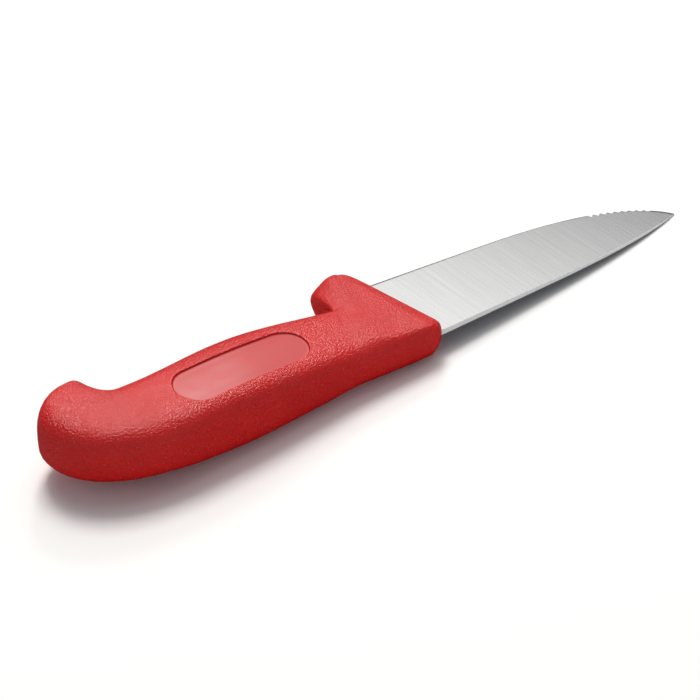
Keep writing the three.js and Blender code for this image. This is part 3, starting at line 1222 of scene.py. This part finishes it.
    def recess_outline(self, outset: float) -> list[Vector]:
        """The oval of the recess.

        Args:
            outset: how far outside its wall the outline lies.

        Returns:
            The corners in order.
        """
        radius = self.recess_width / 2
        straight = self.recess_length / 2 - radius
        spots = []
        for end in (0, 1):
            for step in range(self.end_points):
                angle = math.pi * (end - 0.5 + step / self.end_points)
                spots.append(
                    Vector((straight * (1 - 2 * end), 0, 0))
                    + Vector((math.cos(angle), math.sin(angle), 0)) * (radius + outset)
                )
            for step in range(self.side_points):
                along = straight * (1 - 2 * step / self.side_points) * (1 - 2 * end)
                spots.append(Vector((along, (radius + outset) * (1 - 2 * end), 0)))
        return [self.recess_place() @ spot for spot in spots]

    def recess_tool(self, skin: BVHTree) -> Object:
        """The tool that sinks the recess, with a fillet at its floor and a soft rim that follows the grip.

        Args:
            skin: the outside of the handle.

        Returns:
            A closed tool.
        """
        rings = []
        for outset, share in self.recess_profile:
            spots = self.recess_outline(outset)
            lift = self.recess_depth * share
            rings.append([Vector((spot.x, spot.y, self.floor_at(skin, spot) + lift)) for spot in spots])
        rings.append([Vector((spot.x, spot.y, FAR / 2)) for spot in rings[-1]])
        mesh = bmesh.new()
        floor_ring, top_ring = loft(mesh, rings)
        cap(mesh, top_ring)
        cap(mesh, floor_ring)
        count, middle = len(floor_ring), self.end_points // 2
        bars = []
        for step in range(1, count // 2):
            pair = [floor_ring[middle - step], floor_ring[(middle + step) % count]]
            bars += bmesh.ops.connect_verts(mesh, verts=pair)["edges"]
        split = bmesh.ops.subdivide_edges(mesh, edges=bars, cuts=self.floor_cuts, use_grid_fill=True)
        for corner in split["geom_inner"]:
            if isinstance(corner, BMVert):
                corner.co.z = self.floor_at(skin, corner.co)
        return to_object(mesh, "recess_tool")

    def in_recess(self, skin: BVHTree, spot: Vector) -> bool:
        """Whether a spot lies on the floor of the recess.

        Args:
            skin: the outside of the handle.
            spot: the spot.

        Returns:
            True on the floor.
        """
        radius = self.recess_width / 2
        straight = self.recess_length / 2 - radius
        own = self.recess_place().inverted() @ spot
        inside = math.hypot(max(abs(own.x) - straight, 0.0), own.y) < radius
        return inside and abs(spot.z - self.floor_at(skin, spot)) < self.floor_reach

    def build(self, lay: Lay, blade: Blade) -> Object:
        """Builds and dresses the handle.

        Args:
            lay: how the knife lies.
            blade: the steel that it is moulded around.

        Returns:
            The finished piece.
        """
        mesh = self.body()
        skin = BVHTree.FromBMesh(mesh)
        recess = self.recess_tool(skin)
        piece = to_object(mesh, "knife_handle")
        cut(piece, [recess, blade.hollow(self.steel_fit)])
        data = piece.data
        data.materials.clear()
        data.materials.append(self.skin.make())
        data.materials.append(self.floor.make())
        for face in data.polygons:
            face.material_index = int(self.in_recess(skin, face.center))
        return settle(piece, lay, self.shade_crease, "handle")


# The studio


@dataclass(frozen=True)
class Softbox:
    """A soft lamp that faces the knife."""

    name: str
    place: Point
    width: float
    depth: float
    power: float
    colour: Colour = (1.0, 1.0, 1.0)
    mirrored: bool = True
    aim: Point = (0.0, 0.0, 0.0)

    def make(self) -> Object:
        """Builds the lamp.

        Returns:
            The lamp.
        """
        data = bpy.data.lights.new(self.name, "AREA")
        data.shape = "RECTANGLE"
        data.size = self.width
        data.size_y = self.depth
        data.energy = self.power
        data.color = self.colour
        lamp = bpy.data.objects.new(self.name, data)
        lamp.visible_glossy = self.mirrored
        lamp.location = self.place
        lamp.rotation_euler = (Vector(self.aim) - Vector(self.place)).to_track_quat("-Z", "Y").to_euler()
        bpy.context.scene.collection.objects.link(lamp)
        return lamp


@dataclass(frozen=True)
class Studio:
    """Floor, light and camera."""

    floor_size: float = 6.0
    floor_seen: Colour = (1.0, 1.0, 1.0)
    floor_bounce: Colour = (0.95, 0.95, 0.95)
    # painted dark reflection: the pale floor shows nearly black wherever it is seen in a reflection
    floor_painted_dark_reflection: Colour = (0.08, 0.08, 0.08)
    sky: Colour = (0.21, 0.214, 0.226)
    dome: Colour = (1.3, 1.295, 1.27)
    dome_way: Point = (0.345, 0.395, 0.852)
    dome_core: float = 28.2
    dome_rim: float = 34.7
    softboxes: tuple[Softbox, ...] = (
        Softbox("top_softbox", (0.15, 0.45, 1.08), 0.4, 0.4, 8.2, (1.0, 0.985, 0.94)),
        Softbox("spark_softbox", (0.48, 0.74, 0.82), 0.15, 0.15, 1.8, (1.0, 0.985, 0.94)),
        Softbox("fill_softbox", (0.45, -1.0, 0.22), 1.0, 0.5, 1.4, (0.94, 0.97, 1.0), mirrored=False),
        Softbox("side_softbox", (-0.9, 0.4, 0.5), 0.8, 0.6, 0.4, mirrored=False),
    )
    camera_place: Point = (-0.274198, -0.345633, 0.339973)
    camera_turn: Point = (51.8552, -0.2806, -36.7032)
    lens: float = 92.571
    sensor: float = 36.0
    clip_start: float = 0.01

    def floor_finish(self) -> Material:
        """A pale matt floor that reads as white to the camera and keeps the shadow; in reflections it is
        painted nearly black, a painted dark reflection.

        Returns:
            The material.
        """
        nodes = Nodes(bpy.data.materials.new("pale_floor"))
        nodes.set("Roughness", 1.0)
        nodes.set("Specular IOR Level", 0.0)
        path = nodes.add("ShaderNodeLightPath")
        unseen = nodes.tint(path.outputs["Is Glossy Ray"], self.floor_bounce, self.floor_painted_dark_reflection)
        nodes.set("Base Color", nodes.tint(path.outputs["Is Camera Ray"], unseen, self.floor_seen))
        return nodes.owner

    def room(self) -> World:
        """A dim room with one wide soft light overhead, which fades from its core to its rim.

        Returns:
            The world.
        """
        nodes = Nodes(bpy.data.worlds.new("soft_room"), "BACKGROUND")
        way = nodes.add("ShaderNodeTexCoord")
        near = nodes.add("ShaderNodeVectorMath", operation="DOT_PRODUCT")
        near.inputs[1].default_value = Vector(self.dome_way).normalized()
        nodes.link(way.outputs["Generated"], near.inputs[0])
        angle = nodes.add("ShaderNodeMath", operation="ARCCOSINE")
        nodes.link(near.outputs["Value"], angle.inputs[0])
        glow = nodes.add("ShaderNodeMapRange", interpolation_type="SMOOTHSTEP")
        glow.inputs["From Min"].default_value = math.radians(self.dome_core)
        glow.inputs["From Max"].default_value = math.radians(self.dome_rim)
        nodes.link(angle.outputs["Value"], glow.inputs["Value"])
        nodes.set("Color", nodes.tint(glow.outputs["Result"], self.dome, self.sky))
        return nodes.owner

    def build(self) -> None:
        """Builds the floor, the light and the camera."""
        scene = bpy.context.scene
        scene.view_settings.view_transform = "Standard"
        mesh = bmesh.new()
        bmesh.ops.create_grid(mesh, x_segments=1, y_segments=1, size=self.floor_size / 2)
        floor = to_object(mesh, "floor")
        floor.data.materials.append(self.floor_finish())
        scene.world = self.room()
        for softbox in self.softboxes:
            softbox.make()
        data = bpy.data.cameras.new("photo_camera")
        data.lens = self.lens
        data.sensor_width = self.sensor
        data.clip_start = self.clip_start
        camera = bpy.data.objects.new("photo_camera", data)
        camera.location = self.camera_place
        camera.rotation_euler = Euler([math.radians(angle) for angle in self.camera_turn])
        scene.collection.objects.link(camera)
        scene.camera = camera


def main() -> None:
    """Builds the knife and its studio."""
    logging.basicConfig(level=logging.INFO, format="%(name)s: %(message)s")
    lay = Lay()
    blade = Blade()
    handle = Handle()
    for piece in (blade.build(lay), handle.build(lay, blade)):
        LOG.info("%s has %d faces", piece.name, len(piece.data.polygons))
    Studio().build()


if __name__ == "__main__":
    main()
